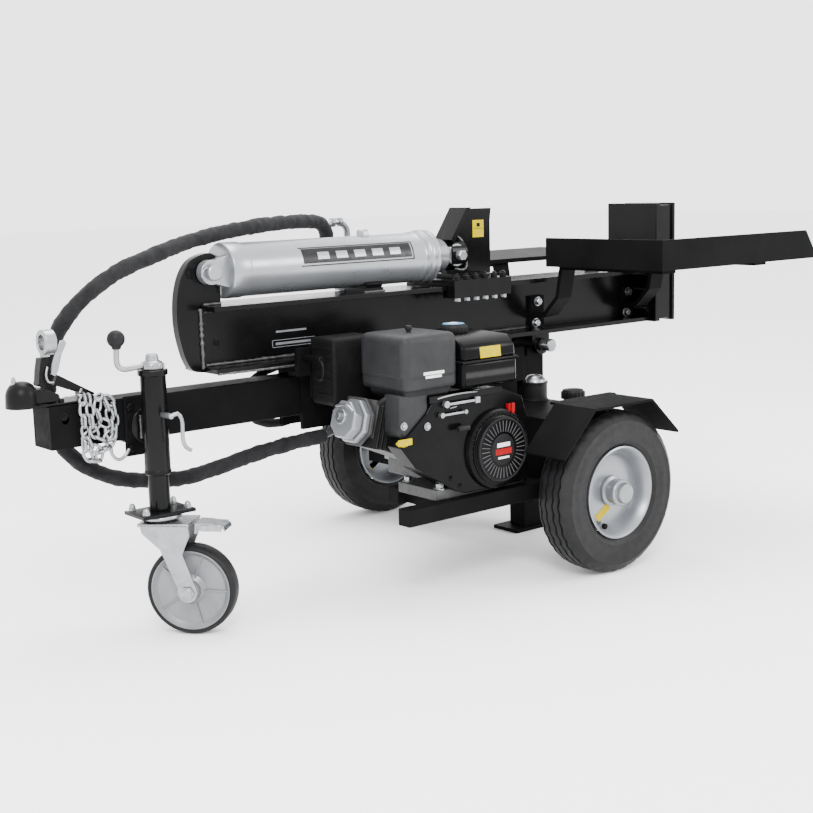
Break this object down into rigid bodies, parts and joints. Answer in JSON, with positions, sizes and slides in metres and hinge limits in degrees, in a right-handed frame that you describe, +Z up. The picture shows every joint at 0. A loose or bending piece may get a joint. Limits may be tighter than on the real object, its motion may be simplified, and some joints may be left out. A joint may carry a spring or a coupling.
{
  "type": "hydraulic log splitter",
  "caption": "Towable hydraulic log splitter: tilting beam with ram and wedge, foot plate, log tables, engine and pump, road wheels, jack caster and ball coupler.",
  "frame": {"origin": "middle of the footprint on the ground", "axes": "+X along the beam from the tow coupler to the foot plate, +Z up, -Y the engine side"},
  "size_m": [2.166, 1.076, 0.919],
  "materials": {
    "gloss_black": "gloss",
    "cylinder_silver": "satin",
    "zinc": "satin",
    "chrome": "polished",
    "tyre": "matte",
    "rim_silver": "satin",
    "caster_tread": "matte",
    "aluminium": "cast",
    "black_plastic": "matte",
    "grey_iron": "painted",
    "red_plastic": "gloss",
    "hose_sleeve": "woven",
    "muffler_black": "matte"
  },
  "bodies": {
    "frame": {"tongue_tube": "gloss_black", "tongue_front": "gloss_black", "pivot_post": "gloss_black", "pivot_pin": "zinc", "beam_rest": "gloss_black", "engine_rails": "gloss_black", "reservoir": "gloss_black", "return_filter": "black_plastic", "fender_near": "gloss_black", "fender_far": "gloss_black", "coupler": "gloss_black", "safety_chain_near": "zinc", "safety_chain_far": "zinc", "jack_mount": "gloss_black", "engine_block": "aluminium", "rocker_cover": "rim_silver", "fan_shroud": "black_plastic", "fuel_tank": "gloss_black", "air_cleaner": "black_plastic", "muffler": "muffler_black", "pump": "grey_iron", "hose_lower": "hose_sleeve", "hose_return": "hose_sleeve"},
    "beam_group": {"beam": "gloss_black", "beam_nose": "gloss_black", "foot_plate": "gloss_black", "cylinder_barrel": "cylinder_silver", "cylinder_pin": "zinc", "table_near": "gloss_black", "table_far": "gloss_black", "control_valve": "grey_iron", "hose_upper": "hose_sleeve"},
    "ram": {"piston_rod": "chrome", "wedge": "gloss_black", "wedge_slide": "gloss_black"},
    "valve_handle": {"valve_lever": "black_plastic"},
    "latch_pin": {"beam_latch_pin": "zinc"},
    "coupler_handle": {"coupler_latch": "gloss_black", "coupler_loop": "zinc"},
    "jack_tube": {"jack_outer": "gloss_black"},
    "jack_pull_pin": {"jack_pin": "zinc"},
    "jack_leg": {"jack_inner": "zinc"},
    "jack_handle": {"jack_crank": "gloss_black"},
    "caster_yoke": {"caster_fork": "zinc"},
    "caster_roller": {"caster_wheel": "caster_tread"},
    "caster_pedal": {"caster_brake": "zinc"},
    "road_wheel_near": {"tyre_near": "tyre", "wheel_near": "rim_silver"},
    "road_wheel_far": {"tyre_far": "tyre", "wheel_far": "rim_silver"},
    "starter_grip": {"recoil_grip": "black_plastic"},
    "throttle": {"throttle_lever": "zinc"},
    "choke": {"choke_lever": "zinc"},
    "switch": {"engine_switch": "red_plastic"},
    "tank_cap": {"fuel_cap": "black_plastic"},
    "reservoir_cap": {"filler_cap": "black_plastic"}
  },
  "joints": [
    {"name": "beam_tilt", "type": "hinge", "parent": "frame", "child": "beam_group", "pos_m": [0.474, 0, 0.53], "axis": [0, 1, 0], "range_deg": [0, 90], "deforming": ["hose_upper"]},
    {"name": "ram_stroke", "type": "slide", "parent": "beam_group", "child": "ram", "axis": [1, 0, 0], "range_m": [0, 0.585]},
    {"name": "valve_lever_swing", "type": "hinge", "parent": "beam_group", "child": "valve_handle", "pos_m": [0.064, 0.117, 0.78], "axis": [0, 0, 1], "range_deg": [-12, 12], "stiffness_Nm_per_rad": 4},
    {"name": "latch_pin_slide", "type": "slide", "parent": "frame", "child": "latch_pin", "axis": [0, 1, 0], "range_m": [0, 0.056]},
    {"name": "coupler_latch_lift", "type": "hinge", "parent": "frame", "child": "coupler_handle", "pos_m": [-1.007, 0, 0.58], "axis": [0, 1, 0], "range_deg": [-55, 15]},
    {"name": "jack_swivel", "type": "hinge", "parent": "frame", "child": "jack_tube", "pos_m": [-0.787, -0.104, 0.47], "axis": [0, 1, 0], "range_deg": [-40, 0], "deforming": ["hose_lower"]},
    {"name": "jack_pin_pull", "type": "slide", "parent": "jack_tube", "child": "jack_pull_pin", "axis": [0, -1, 0], "range_m": [0, 0.02], "stiffness_N_per_m": 400},
    {"name": "jack_extend", "type": "slide", "parent": "jack_tube", "child": "jack_leg", "axis": [0, 0, 1], "range_m": [-0.09, 0.08]},
    {"name": "jack_crank_turn", "type": "hinge", "parent": "jack_tube", "child": "jack_handle", "pos_m": [-0.787, -0.104, 0.6], "axis": [0, 0, 1], "range_deg": [-5460, 4860]},
    {"name": "caster_swivel", "type": "hinge", "parent": "jack_leg", "child": "caster_yoke", "pos_m": [-0.787, -0.104, 0.265], "axis": [0, 0, 1], "continuous": true},
    {"name": "caster_roll", "type": "hinge", "parent": "caster_yoke", "child": "caster_roller", "pos_m": [-0.742, -0.154, 0.102], "axis": [0.7433, 0.669, 0], "continuous": true},
    {"name": "caster_brake_press", "type": "hinge", "parent": "caster_yoke", "child": "caster_pedal", "pos_m": [-0.72913, -0.16829, 0.247], "axis": [0.7433, 0.669, 0], "range_deg": [0, 12], "stiffness_Nm_per_rad": 2},
    {"name": "wheel_near_roll", "type": "hinge", "parent": "frame", "child": "road_wheel_near", "pos_m": [0.289, -0.46, 0.207], "axis": [0, 1, 0], "continuous": true},
    {"name": "wheel_far_roll", "type": "hinge", "parent": "frame", "child": "road_wheel_far", "pos_m": [0.289, 0.46, 0.207], "axis": [0, 1, 0], "continuous": true},
    {"name": "starter_pull", "type": "slide", "parent": "frame", "child": "starter_grip", "axis": [0, -1, 0], "range_m": [0, 0.6], "stiffness_N_per_m": 15},
    {"name": "throttle_swing", "type": "hinge", "parent": "frame", "child": "throttle", "pos_m": [-0.176, -0.381, 0.474], "axis": [0, 1, 0], "range_deg": [-10, 8]},
    {"name": "choke_swing", "type": "hinge", "parent": "frame", "child": "choke", "pos_m": [-0.188, -0.381, 0.45], "axis": [0, 1, 0], "range_deg": [0, 20]},
    {"name": "switch_turn", "type": "hinge", "parent": "frame", "child": "switch", "pos_m": [0.033, -0.38, 0.441], "axis": [0, 1, 0], "range_deg": [0, 45]},
    {"name": "fuel_cap_turn", "type": "hinge", "parent": "frame", "child": "tank_cap", "pos_m": [-0.043, -0.262, 0.62], "axis": [0, 0, 1], "range_deg": [0, 90]},
    {"name": "filler_cap_turn", "type": "hinge", "parent": "frame", "child": "reservoir_cap", "pos_m": [0.377, -0.262, 0.4], "axis": [0, 0, 1], "range_deg": [0, 120]}
  ],
  "couplings": [
    {"joint": "jack_crank_turn", "follows": "jack_extend", "rad_per_m": 1047.2}
  ]
}
